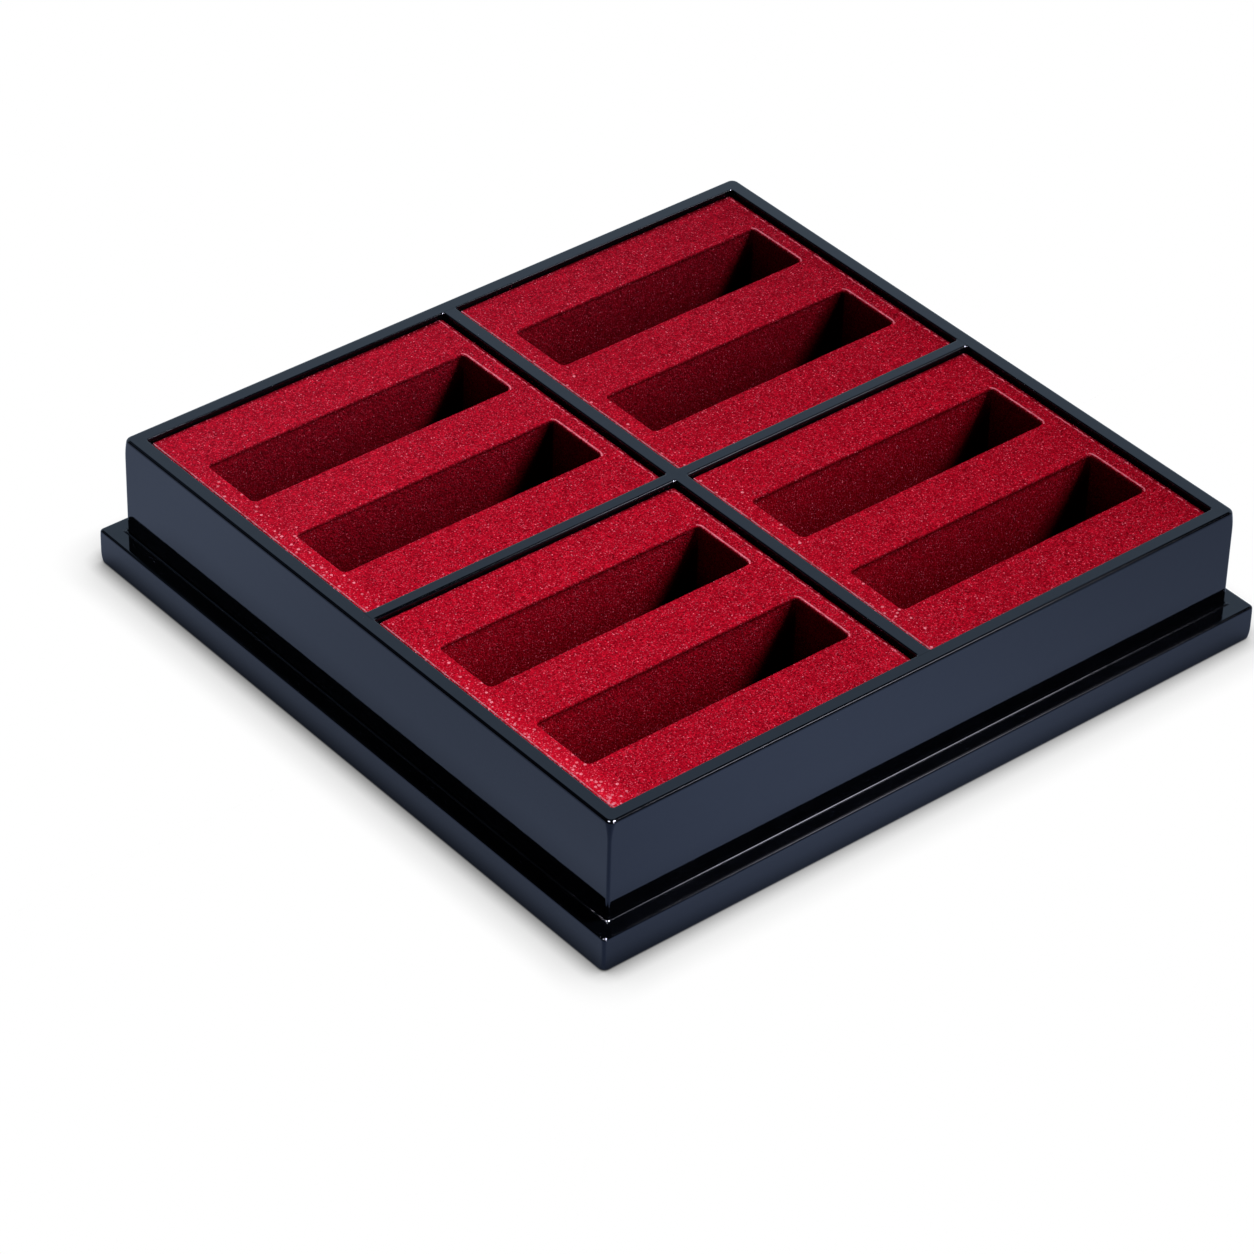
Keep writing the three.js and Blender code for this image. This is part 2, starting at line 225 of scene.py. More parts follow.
# %% Table's white, with a painted soft shadow close to the box
# A painted contact shadow has its reach and power, and a painted pool of light its middle in plan, its reach
# and its gain.
CONTACT_SHADOWS, SHADOW_SAMPLES = ((0.016, 0.9), (0.006, 1.0)), 16
FRONT_SHADOW_SHARE, FRONT_TURN, GLOSS_SHADOW = 0.66, 0.06, 1.4
TABLE_FAR, TABLE_POOLS = 0.60, (((-0.02, -0.17), 0.085, 0.38), ((-0.17, 0.13), 0.05, 0.14))
TABLE_TINT, PAPER, WHITE, BLACK = (0.70, 0.835, 1.11), (0.75, 0.75, 0.75), (1.0, 1.0, 1.0), (0.0, 0.0, 0.0)
table_white = bpy.data.materials.new("table_white")
tree, light_path = emptied(table_white)
on_camera = light_path["Is Camera Ray"]
seen = compute(tree, "MAXIMUM", on_camera, light_path["Is Glossy Ray"])
seen = compute(tree, "MAXIMUM", seen, light_path["Is Transmission Ray"])
spot = add_node(tree, "TexCoord").outputs["Object"]
plan = add_node(tree, "SeparateXYZ", {0: spot}).outputs
side = compute(tree, "SUBTRACT", plan["X"], plan["Y"])
weight = multiply(tree, ramp(tree, side, -FRONT_TURN, FRONT_TURN, 1.0, FRONT_SHADOW_SHARE),
                  ramp(tree, on_camera, 0.0, 1.0, GLOSS_SHADOW, 1.0))
open_sky = 1.0
for reach, power in CONTACT_SHADOWS:
    near = add_node(tree, "AmbientOcclusion", {"Distance": reach}, samples=SHADOW_SAMPLES)
    open_sky = multiply(tree, compute(tree, "POWER", near.outputs["AO"], power), open_sky)
open_sky = compute(tree, "POWER", open_sky, weight)
shade_tone = mix_colours(tree, open_sky, BLACK, mix_colours(tree, on_camera, TABLE_TINT, WHITE))
lit_share = TABLE_FAR
for middle, reach, gain in TABLE_POOLS:
    away = vectors(tree, "DISTANCE", {0: spot, 1: (*middle, 0.0)}, "Value")
    pool = compute(tree, "EXPONENT", multiply(tree, compute(tree, "POWER", away, 2.0), -0.5 / reach**2))
    lit_share = scaled(tree, pool, gain, lit_share)
lit_share = compute(tree, "MAXIMUM", lit_share, on_camera)
white = add_node(tree, "Emission", {"Color": shade_tone, "Strength": lit_share})
paper = add_node(tree, "BsdfDiffuse", {"Color": (*PAPER, 1.0)})
add_node(tree, "OutputMaterial", {"Surface": mix_shaders(tree, seen, paper, white).outputs[0]})
table.data.materials.append(table_white)

# %% World
# A soft box has the way towards it, its half angle in degrees and its strength. Gloss sees the backdrop
# where a way's share towards it and its height lie in these ranges, and the table's white at the horizon.
AMBIENT, ROOM, WARM = 0.10, (0.010, 0.010, 0.010), (1.5, 1.25, 1.0)
BACKDROP_WHITE, BACKDROP_WAY, BACKDROP_SIDES = (0.65, 0.795, 0.87), (0.65, 0.76, 0.0), (0.12, 0.50)
BACKDROP_TOP, BACKDROP_FADE, BACKDROP_FALL, HORIZON = 0.70, 0.04, (0.54, 0.62, 1.12, 0.93), (0.02, 0.14)
SOFT_BOXES = (((0.525, -0.3382, 0.7814), 1.15, 9.0), ((0.5412, -0.334, 0.7717), 2.35, 11.0),
              ((0.4975, -0.3446, 0.7962), 0.45, 8.0), ((0.5515, -0.45, 0.7025), 3.2, 8.0),
              ((-0.3816, 0.581, 0.7191), 0.13, 40.0), ((0.283, -0.433, 0.857), 9.0, 260.0),
              ((0.019, -0.891, 0.454), 5.0, 160.0), ((-0.392, -0.036, 0.920), 8.0, 90.0))
SOFT_EDGE = 0.3

world = bpy.data.worlds.new("studio")
bpy.context.scene.world = world
tree, light_path = emptied(world)
glossy = compute(tree, "MAXIMUM", light_path["Is Glossy Ray"], light_path["Is Transmission Ray"])
way = add_node(tree, "TexCoord").outputs["Generated"]
height = add_node(tree, "SeparateXYZ", {0: way}).outputs["Z"]
behind = ramp(tree, vectors(tree, "DOT_PRODUCT", {0: way, 1: BACKDROP_WAY}, "Value"), *BACKDROP_SIDES)
below_top = ramp(tree, height, BACKDROP_TOP - BACKDROP_FADE, BACKDROP_TOP + BACKDROP_FADE, 1.0, 0.0)
horizon = ramp(tree, height, *HORIZON, 1.0, 0.0)
lit = compute(tree, "MAXIMUM", multiply(tree, behind, below_top), horizon)
upwards = ramp(tree, height, *BACKDROP_FALL)
backdrop_white = vectors(tree, "SCALE", {0: BACKDROP_WHITE, "Scale": upwards})
room_colour = mix_colours(tree, horizon, mix_colours(tree, lit, ROOM, backdrop_white), WHITE)
for direction, half_angle, strength in SOFT_BOXES:
    towards = np.array(direction) / np.linalg.norm(direction)
    facing_it = vectors(tree, "DOT_PRODUCT", {0: way, 1: tuple(towards)}, "Value")
    outer, inner = (math.cos(math.radians(half_angle * edge)) for edge in (1 + SOFT_EDGE, 1 - SOFT_EDGE))
    blob = vectors(tree, "SCALE", {0: WARM, "Scale": ramp(tree, facing_it, outer, inner, 0.0, strength)})
    room_colour = vectors(tree, "ADD", {0: room_colour, 1: blob})
in_gloss, to_camera, ambient = (
    add_node(tree, "Background", {"Color": colour, "Strength": strength})
    for colour, strength in ((room_colour, 1.0), ((*WHITE, 1.0), 1.0), ((*WHITE, 1.0), AMBIENT)))
seen = mix_shaders(tree, light_path["Is Camera Ray"], mix_shaders(tree, glossy, ambient, in_gloss), to_camera)
add_node(tree, "OutputWorld", {"Surface": seen.outputs[0]})
print("world with", len(SOFT_BOXES), "soft boxes")

# %% Key lamp
KEY_WAY, KEY_AIM, KEY_DISTANCE = np.array((0.575, -0.33, 0.748)), np.array((-0.32, 0.10, 0.045)), 2.5
KEY_CONE, KEY_SIZE, KEY_WATTS = 28.0, 0.26, 257.5
lamp = bpy.data.lights.new("key", "SPOT")
lamp.energy, lamp.shadow_soft_size = KEY_WATTS, KEY_SIZE
lamp.spot_size, lamp.spot_blend = math.radians(KEY_CONE), 1.0
key = bpy.data.objects.new("key", lamp)
bpy.context.scene.collection.objects.link(key)
key_way = KEY_WAY / np.linalg.norm(KEY_WAY)
key.location = KEY_AIM + key_way * KEY_DISTANCE
key.rotation_euler = Vector(key_way).to_track_quat("Z", "Y").to_euler()
key.visible_glossy = False
print("key lamp at", np.round(np.array(key.location), 3))

# %% [markdown]
# ## Surfaces from profiles
# Woodwork is made of mouldings: a section that runs along a path. Every corner of a section gets a small
# round, because a lacquer film never has a sharp edge, and two extra points just beyond each round keep the
# flats flat where the shading is smooth.


# %% Shape helpers
EASE, ROUND_STEPS = 0.06, 8
SHARP_DEGREES, MERGE_METRES = 38.0, 2e-7


def rounded_section(corners):
    """A closed polygon whose corners, each (x, z, radius), are rounded.

    With u and v the directions to its neighbours and h half the angle between them, a corner's arc touches
    the sides at radius / tan(h) from it, and its centre lies at radius / sin(h) along the bisector.
    """
    points, radius = np.split(np.array(corners), [2], axis=1)
    u = np.roll(points, 1, axis=0) - points
    v = np.roll(points, -1, axis=0) - points
    u /= np.linalg.norm(u, axis=1, keepdims=True)
    v /= np.linalg.norm(v, axis=1, keepdims=True)
    half = np.arccos(np.clip((u * v).sum(1, keepdims=True), -1, 1)) / 2
    reach = radius / np.tan(half)
    middle = (u + v) / np.linalg.norm(u + v, axis=1, keepdims=True)
    centre = points + middle * radius / np.sin(half)
    start, end = (points + u * reach - centre)[:, None], (points + v * reach - centre)[:, None]
    turn = (np.pi - 2 * half)[:, None]
    share = np.linspace(0, 1, ROUND_STEPS + 1)[None, :, None]
    arc = np.sin((1 - share) * turn) * start + np.sin(share * turn) * end
    arc = centre[:, None] + arc / np.sin(turn)
    before = (points + u * (reach + EASE))[:, None]
    after = (points + v * (reach + EASE))[:, None]
    return np.concatenate((before, arc, after), axis=1).reshape(-1, 2)


def loft_faces(rings, count):
    """Quads between closed rings of points that are numbered ring by ring."""
    ring = np.arange(rings - 1)[:, None] * count
    step = np.arange(count)[None, :]
    following = (step + 1) % count
    quads = (ring + step, ring + following, ring + count + following, ring + count + step)
    return np.stack(quads, axis=-1).reshape(-1, 4).tolist()


def shade(mesh, sharp_degrees):
    """Smooth shading, but for edges that turn by more than so many degrees."""
    mesh.shade_smooth()
    mesh.set_sharp_from_angle(angle=math.radians(sharp_degrees))


def make_piece(name, points, faces, body, node, sharp_degrees=SHARP_DEGREES, recalculate=True):
    """A piece from points in millimetres: merged, facing outwards, smooth but for its sharp edges."""
    piece = add_object(name, np.asarray(points) * MM, faces)
    shape = bmesh.new()
    shape.from_mesh(piece.data)
    bmesh.ops.remove_doubles(shape, verts=shape.verts, dist=MERGE_METRES)
    if recalculate:
        bmesh.ops.recalc_face_normals(shape, faces=shape.faces)
    shape.to_mesh(piece.data)
    shape.free()
    shade(piece.data, sharp_degrees)
    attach(piece, body)
    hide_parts(node)
    return piece


# %% [markdown]
# ## Walls and rails
# Four walls and four base rails meet in mitres, and the lacquer runs round their corners without a seam. So
# each side is its section carried along half of one round corner, the straight run and half of the next, and
# both ends lie on the corners' diagonals, where the neighbour takes over with the same points.

# %% Sections of wall and rail, as distance outwards from the tray's face and level
FILM, RIM_ROUND, TOP_ROUND, LONG_ROUND, FOOT_ROUND = 0.12, 1.0, 0.4, 0.75, 0.3
FLOOR_GROOVE, FLOOR_PLAY = 2.0, 0.3
RAIL_INNER, RECESS, RECESS_OUT, TONGUE_LOW, TONGUE_HIGH, RAIL_GROOVE = -9.0, 3.0, 0.5, 5.277, 7.923, 3.3
PLINTH_ROUND, LEDGE_FILLET, BEAD_ROUND = 0.8, 0.15, 0.25
FACET, FACET_TURN = 0.38, math.radians(32.6)
BELOW_RIM, ABOVE_FOOT, BELOW_LEDGE = (7.0, 5.5, 4.2, 3.1, 2.1), (1.4, 2.1, 3.0, 4.0), (3.0, 2.2, 1.6, 1.1)
groove_out, groove_top, tongue_out = FLOOR_GROOVE - WALL, FLOOR_TOP + FLOOR_PLAY, RAIL_INNER + RAIL_GROOVE
facet_in, facet_down = FACET * math.cos(FACET_TURN), FACET * math.sin(FACET_TURN)
wall_section = rounded_section([
    (-WALL, TRAY_FOOT, FILM), (0.0, TRAY_FOOT, FOOT_ROUND), (0.0, RIM, RIM_ROUND), (-WALL, RIM, TOP_ROUND),
    (-WALL, groove_top, FILM), (groove_out, groove_top, FILM), (groove_out, FLOOR_UNDER, FILM),
    (-WALL, FLOOR_UNDER, FILM)])
rail_section = rounded_section([
    (RECESS_OUT, 0.0, FILM), (LEDGE_OUT, 0.0, PLINTH_ROUND), (LEDGE_OUT, LEDGE, PLINTH_ROUND),
    (BEAD_OUT, LEDGE, LEDGE_FILLET), (BEAD_OUT, BEAD_TOP - facet_down, BEAD_ROUND),
    (BEAD_OUT - facet_in, BEAD_TOP, BEAD_ROUND), (BEAD_IN, BEAD_TOP, FILM), (BEAD_IN, SEAT, FILM),
    (RAIL_INNER, SEAT, FILM), (RAIL_INNER, TONGUE_HIGH, FILM), (tongue_out, TONGUE_HIGH, FILM),
    (tongue_out, TONGUE_LOW, FILM), (RAIL_INNER, TONGUE_LOW, FILM), (RAIL_INNER, RECESS, FILM),
    (RECESS_OUT, RECESS, FILM)])
# The upright face comes after the second corner. It gets more levels, where its corners grow softer.
upright = 2 * (ROUND_STEPS + 3)
wall_levels = [RIM - down for down in BELOW_RIM]
rail_levels = [*ABOVE_FOOT, *(LEDGE - down for down in BELOW_LEDGE)]
wall_section = np.insert(wall_section, upright, [(0.0, level) for level in wall_levels], axis=0)
rail_section = np.insert(rail_section, upright, [(LEDGE_OUT, level) for level in rail_levels], axis=0)
print("wall section", len(wall_section), "points; rail section", len(rail_section), "points")

# %% Sides of a mitred frame
TRAY_CORNER, BEAD_CORNER, PLINTH_CORNER, CELL_FILLET = 0.95, 1.2, 1.0, 0.6
LEAST_WALL_CORNER, LEAST_RAIL_CORNER = 0.4, 0.3
SOFTER, SOFTER_DEPTH = 1.6, 7.0
PLINTH_SOFTER, PLINTH_FOOT, PLINTH_TOP, PLINTH_TOP_SHARE = 1.5, 4.0, 3.0, 0.25
CORNER_STEPS, BEFORE_MITRE, MITRE = 10, 44.5, 45.0


def wall_corner(outwards, level):
    """Radius in plan of a tray corner: softer near the rim outside, and a fillet of its own inside."""
    near_rim = np.clip((level - RIM + SOFTER_DEPTH) / SOFTER_DEPTH, 0, 1) ** 2
    outside = np.maximum(LEAST_WALL_CORNER, TRAY_CORNER + SOFTER * near_rim + outwards)
    return np.where(outwards < -WALL / 2, CELL_FILLET + WALL + outwards, outside)


def rail_corner(outwards, level):
    """Radius in plan of a base corner: one for the bead, and one for the plinth, softer at foot and top."""
    at_foot = np.clip(1 - level / PLINTH_FOOT, 0, 1) ** 2
    at_top = np.clip(1 - (LEDGE - level) / PLINTH_TOP, 0, 1) ** 2
    soft = np.maximum(at_foot, PLINTH_TOP_SHARE * at_top)
    round_plinth = PLINTH_CORNER + PLINTH_SOFTER * soft + outwards - LEDGE_OUT
    round_bead = BEAD_CORNER + outwards - BEAD_OUT
    return np.maximum(LEAST_RAIL_CORNER, np.where(outwards > BEAD_OUT, round_plinth, round_bead))


def mitred_side(section, along, away, corner_radius):
    """Points and faces of the side that faces +Y.

    At a turn t, a section point that lies o outwards on a corner of radius r comes to x = side * (along + o
    - r + r sin t) and y = away + o - r + r cos t. Stations just inside the straight run and just before the
    mitre at 45 degrees keep the shading even.
    """
    arc = np.linspace(0, MITRE, CORNER_STEPS + 1)
    turn = np.radians(np.concatenate(([0.0], arc[:-1], [BEFORE_MITRE, MITRE])))
    back = np.zeros_like(turn)
    back[0] = EASE * 2
    turn, back = (np.concatenate((a[::-1], a))[:, None] for a in (turn, back))
    side = np.repeat((-1.0, 1.0), len(turn) // 2)[:, None]
    outwards, level = section.T[:, None, :]
    radius = corner_radius(outwards, level)
    x = side * (along + outwards - radius + radius * np.sin(turn) - back)
    y = away + outwards - radius + radius * np.cos(turn)
    points = np.stack((x, y, np.broadcast_to(level, x.shape)), axis=-1)
    stations, count = x.shape
    faces = loft_faces(stations, count)
    first = np.arange(count)
    faces += [first.tolist(), (first + (stations - 1) * count)[::-1].tolist()]
    return points.reshape(-1, 3), faces


WAYS = {"back": (1, 0, 0, 1), "front": (-1, 0, 0, -1), "right": (0, 1, -1, 0), "left": (0, -1, 1, 0)}


def turned(points, way):
    """A side that faces +Y, turned in plan to face one of the four ways."""
    a, b, c, d = WAYS[way]
    x, y, z = points.T
    return np.column_stack((a * x + b * y, c * x + d * y, z))


lacquered = []
for way in WAYS:
    along, away = TRAY if way in ("back", "front") else TRAY[::-1]
    for kind, body, section, corner_radius in (("wall", "tray", wall_section, wall_corner),
                                               ("rail", "base", rail_section, rail_corner)):
        points, faces = mitred_side(section, along, away, corner_radius)
        lacquered.append(make_piece(f"{kind}_{way}", turned(points, way), faces, body,
                                    f"{body}_{kind}_{way}"))
print("mitred sides:", [(p.name, len(p.data.vertices)) for p in lacquered[:2]])

# %% [markdown]
# ## Dividers
# Two boards are halved into each other by one cut each, with small fillets of lacquer where they meet each
# other and the rim. A divider is its outline in plan, in rings that go up and then in over the rounded top
# edge. The long board has a larger round, which draws the pale line along its front. Where a board meets
# the wall or the other board, its rings follow the round of what they meet, so the tops run together.


# %% Divider outlines
def stand_back(level, radius):
    """How far a round top edge stands back at a level: r - sqrt(r * r - h * h), with h above its start."""
    up = np.clip(level - RIM + radius, 0, radius)
    return radius - math.sqrt(max(radius**2 - up**2, 0.0))


def fillet(centre_x, centre_y, radii, start, end):
    """Points on an arc in plan between two angles in degrees, with a radius that goes evenly between two."""
    angle = np.radians(np.linspace(start, end, ROUND_STEPS + 1))
    radius = np.linspace(*radii, ROUND_STEPS + 1)
    return np.column_stack((centre_x + radius * np.cos(angle), centre_y + radius * np.sin(angle)))


def divider_outline(reach, own, wall, other, crossing):
    """Outline of a divider along Y, where it, the wall and the other board stand back by so much.

    One quarter runs along the side, from the crossing or the middle to the wall. A fillet with the radius
    CELL_FILLET and its own step back ends on the step back of what it meets. The rest is mirrored.
    """
    f, w = CELL_FILLET, DIVIDER
    at_crossing = [fillet(w + f, w + f, (f + other, f + own), -90, -180), [(w - own, w + f + EASE)]]
    at_wall = [[(w - own, reach - f - EASE)], fillet(w + f, reach - f, (f + own, f + wall), 180, 90)]
    quarter = np.concatenate((at_crossing if crossing else []) + at_wall)
    return np.concatenate((quarter, quarter[::-1] * (-1, 1), quarter * (-1, -1), quarter[::-1] * (1, -1)))


def divider_piece(reach, own_round, crossing):
    """Rings of the outline: up the sides, over the rounded top edge and a little in, closed by two flats."""
    rise = np.radians(np.linspace(0, 90, ROUND_STEPS + 1))
    levels = np.concatenate(([FLOOR_TOP, FLOOR_TOP + EASE, RIM - LONG_ROUND - EASE],
                             RIM - LONG_ROUND + LONG_ROUND * np.sin(rise), [RIM]))
    rings = []
    for number, level in enumerate(levels):
        further = EASE if number == len(levels) - 1 else 0.0
        steps_back = [stand_back(level, radius) + further for radius in (own_round, TOP_ROUND, LONG_ROUND)]
        ring = divider_outline(reach, *steps_back, crossing)
        rings.append(np.column_stack((ring, np.full(len(ring), level))))
    count, last = len(rings[0]), len(rings) - 1
    first = np.arange(count)
    flats = [first[::-1].tolist(), (first + last * count).tolist()]
    return np.concatenate(rings), loft_faces(len(rings), count) + flats


def cut_away(piece, low, high):
    """Cuts a block out of a piece with a Boolean that is applied at once."""
    at_high = np.array([(i & 1, i >> 1 & 1, i >> 2) for i in range(8)])
    faces = [(0, 2, 3, 1), (4, 5, 7, 6), (0, 1, 5, 4), (2, 6, 7, 3), (0, 4, 6, 2), (1, 3, 7, 5)]
    cutter = add_object("cutter", np.where(at_high, high, low) * MM, faces)
    modifier = piece.modifiers.new("cut", "BOOLEAN")
    modifier.operation, modifier.solver, modifier.object = "DIFFERENCE", "FAST", cutter
    shown = piece.evaluated_get(bpy.context.evaluated_depsgraph_get())
    piece.data = bpy.data.meshes.new_from_object(shown)
    piece.modifiers.clear()
    bpy.data.objects.remove(cutter)
    shade(piece.data, SHARP_DEGREES)


# %% Dividers
LAP, OVERRUN = 0.15, 1.0
half_way = (FLOOR_TOP + RIM) / 2
ear = DIVIDER + CELL_FILLET
points, faces = divider_piece(TRAY[1] - WALL, TOP_ROUND, True)
cross = make_piece("cross_board", points, faces, "tray", "divider_cross")
cut_away(cross, (-2 * ear, -DIVIDER - LAP, FLOOR_TOP - OVERRUN), (2 * ear, DIVIDER + LAP, half_way))
points, faces = divider_piece(TRAY[0] - WALL, LONG_ROUND, False)
points = turned(points, "right")
long_board = make_piece("long_board", points, faces, "tray", "divider_long")
cut_away(long_board, (-ear, -2 * ear, half_way - LAP), (ear, 2 * ear, RIM + OVERRUN))
lacquered += [cross, long_board]
print("dividers:", len(cross.data.vertices), "and", len(long_board.data.vertices), "points")

# %% [markdown]
# ## Inserts
# Each insert is foam on a card under a flocked skin that also lines two long slots. Flock is glued down and
# can't billow, so the skin is shaped directly instead of simulated. Rings of points go up the sides and over
# the edges, and down into each slot. The top between them is a Delaunay triangulation of the rings and a
# grid of points. Then every point moves a little along its normal, because a pile is never quite even, and
# a Solidify modifier gives the skin its thickness.

# %% Insert sizes
CORNERS = ("front_left", "front_right", "back_left", "back_right")
SKIN, EDGE_ROUND, LIP_ROUND, LIP_FLAT, INSERT_CORNER, SLOT_CORNER = 0.8, 0.7, 0.55, 0.35, 1.2, 1.8
SLOT_END, SLOT_SIDE, RIB, BACK_LIP = 6.8, 20.0, 21.0, 0.8
LEAST_BEND, MORE_BEND, ORIGIN = 4, 3, np.zeros(2)
ROW_SHARE, CLEAR_SHARE, INSIDE_ONLY, NEARLY_ZERO = 0.866, 0.6, 1, 1e-6
WAVE_SPREAD, WAVE_GAIN = (0.7, 1.5), 1.6


def insert_frame(corner):
    """Middle in plan, half sizes, foot and top of an insert, and the half sizes and centres of its slots."""
    low, high = box_mm(f"insert_{corner}_cover")
    middle, half = (low + high)[:2] / 2, (high - low)[:2] / 2
    slot_width = half[1] - SLOT_SIDE - RIB / 2
    slot_half = np.array((half[0] - SLOT_END, (slot_width + BACK_LIP) / 2))
    centres = [np.array((0.0, s * (slot_width + RIB) / 2 + BACK_LIP / 2)) for s in (-1, 1)]
    return middle, half, low[2], high[2], slot_half, centres


def loop(half, radius, spacing):
    """A rounded rectangle's points and outward normals, counter-clockwise, evenly spaced along its sides."""
    runs = 2 * (np.asarray(half) - radius)
    counts = np.maximum(2, np.round(runs / spacing).astype(int))
    bend = max(LEAST_BEND, int(round(radius * np.pi / 2 / spacing)) + MORE_BEND)
    centres = np.array(((1, 1), (-1, 1), (-1, -1), (1, -1))) * (np.asarray(half) - radius)
    points, normals = [], []
    for k in range(4):
        angle = np.radians(90 * k + np.linspace(0, 90, bend + 1))
        normal = np.column_stack((np.cos(angle), np.sin(angle)))
        points.append(centres[k] + radius * normal)
        normals.append(normal)
        n = counts[k % 2]
        share = np.linspace(0, 1, n + 1)[1:-1, None]
        end = centres[(k + 1) % 4] + radius * normal[-1]
        points.append(points[-1][-1] * (1 - share) + end * share)
        normals.append(np.repeat(normal[-1:], n - 1, axis=0))
    return np.concatenate(points), np.concatenate(normals)


def distance_to(points, middle, half, radius):
    """Signed distance in plan to a rounded rectangle: below zero inside."""
    q = np.abs(points - middle) - (np.asarray(half) - radius)
    return np.linalg.norm(np.maximum(q, 0), axis=1) + np.minimum(q.max(axis=1), 0) - radius


def room_inside(middle, outer, slots=(), centres=()):
    """A function: how far points in plan lie inside an outline and outside its slots, each (half, radius)."""
    def room(points):
        gaps = [-distance_to(points, middle, *outer)]
        gaps += [distance_to(points, centre, *slots) for centre in centres]
        return np.min(gaps, axis=0)

    return room


def fill_flat(loops, grid, level, keep):
    """Triangles over a flat area: the first loop is outside and the others are holes, with a grid between."""
    low, high = loops[0].min(0), loops[0].max(0)
    gx = np.arange(low[0] + grid / 2, high[0], grid)
    gy = np.arange(low[1] + grid / 2, high[1], grid * ROW_SHARE)
    x, y = np.meshgrid(gx, gy)
    x = x + (np.arange(len(gy)) % 2)[:, None] * grid / 2
    inner = np.column_stack((x.ravel(), y.ravel()))
    inner = inner[keep(inner) > grid * CLEAR_SHARE]
    points = np.concatenate((*loops, inner))
    ends = np.cumsum([len(l) for l in loops])
    rims = [list(range(e - len(l), e)) for l, e in zip(loops, ends)]
    found = delaunay_2d_cdt(points.tolist(), [], rims, INSIDE_ONLY, NEARLY_ZERO)
    flat, triangles = np.array(found[0]), np.array(found[2])
    triangles = triangles[keep(flat[triangles].mean(axis=1)) > 0]
    a, b, c = flat[triangles].swapaxes(0, 1)
    area = (b[:, 0] - a[:, 0]) * (c[:, 1] - a[:, 1]) - (b[:, 1] - a[:, 1]) * (c[:, 0] - a[:, 0])
    triangles = np.where((area > 0)[:, None], triangles, triangles[:, ::-1])
    return np.column_stack((flat, np.full(len(flat), level))), triangles


def rings_of(outline, normals, steps):
    """Rings of an outline, each moved outwards by an amount and set at a level."""
    rings = [np.column_stack((outline + normals * out, np.full(len(outline), level))) for out, level in steps]
    return np.concatenate(rings), np.array(loft_faces(len(rings), len(outline)))


def joined(parts, middle):
    """Several sets of points and faces as one, moved in plan."""
    points, faces, total = [], [], 0
    for part_points, part_faces in parts:
        points.append(part_points + (*middle, 0.0))
        faces += (np.asarray(part_faces) + total).tolist()
        total += len(part_points)
    return np.concatenate(points), faces


def waves(points, length, seed, count=14):
    """A smooth unevenness from -1 to 1: plane waves of about one length in seeded random directions."""
    rng = np.random.default_rng(seed)
    way = rng.normal(size=(count, 3))
    lengths = length * rng.uniform(*WAVE_SPREAD, (count, 1))
    way *= 2 * np.pi / lengths / np.linalg.norm(way, axis=1, keepdims=True)
    return np.sin(points @ way.T + rng.uniform(0, 2 * np.pi, count)).mean(axis=1) * WAVE_GAIN


# %% Surface of a skin
ROUND = np.radians(np.linspace(0, 90, 7))
SIDE_SPACING, SIDE_RINGS, LINING_SPACING, LINING_RINGS, TOP_GRID, SLOT_GRID = 1.4, 14, 1.3, 18, 1.5, 3.0
LIP_REACH, BELOW_LIP, LINING_TOP = LIP_ROUND + LIP_FLAT, (0.3, 0.7, 1.2), 2.5
SLOT_FLOOR, TOE = 0.4, 0.6


def skin_surface(corner):
    """The outside of the flocked skin, open at its foot, with faces that point out of the pile."""
    middle, half, foot, top, slot_half, centres = insert_frame(corner)
    drop, floor = top - EDGE_ROUND, foot + SLOT_FLOOR
    outside, out_normals = loop(half, INSERT_CORNER, SIDE_SPACING)
    up = [(0.0, z) for z in np.linspace(foot, drop, SIDE_RINGS)[:-1]]
    over = [(-EDGE_ROUND * (1 - math.cos(a)), drop + EDGE_ROUND * math.sin(a)) for a in ROUND]
    lip = [(LIP_REACH, top)]
    lip += [(LIP_ROUND * (1 - math.sin(a)), top - LIP_ROUND * (1 - math.cos(a))) for a in ROUND]
    down = [(0.0, top - LIP_ROUND - z) for z in BELOW_LIP]
    down += [(0.0, z) for z in np.linspace(top - LINING_TOP, floor + TOE, LINING_RINGS)]
    toe = [(-TOE * (1 - math.cos(a)), floor + TOE * (1 - math.sin(a))) for a in ROUND[1:]]
    rings, flats, lips = [rings_of(outside, out_normals, up + over)], [], []
    for centre in centres:
        line, normals = loop(slot_half, SLOT_CORNER, LINING_SPACING)
        line = line + centre
        rings.append(rings_of(line, normals, lip + down + toe))
        lips.append(line + normals * LIP_REACH)
        on_floor = room_inside(centre, (slot_half - TOE, SLOT_CORNER - TOE))
        flats.append(fill_flat([line - normals * TOE], SLOT_GRID, floor, on_floor))
    on_top = room_inside(ORIGIN, (half - EDGE_ROUND, INSERT_CORNER - EDGE_ROUND),
                         (slot_half + LIP_REACH, SLOT_CORNER + LIP_ROUND), centres)
    flats.append(fill_flat([outside - out_normals * EDGE_ROUND, *lips], TOP_GRID, top, on_top))
    return joined(rings + flats, middle)


# %% Values on a skin that the flock's finish reads
# What counts as on top, at an edge, on a slot's lining or near a slot.
ON_TOP, AT_EDGE, ON_LINING, LINING_HIGH, AT_SLOT, FAR_AWAY = 0.4, 1.5, 0.12, 0.25, 2.0, 9.0
SLOT_MARGIN, LIP_MARGIN, END_MARGIN, BACK_MARGIN, DEEP_FROM, SHEEN_FADE = 0.4, 0.5, 0.25, 0.3, 0.8, 3.0
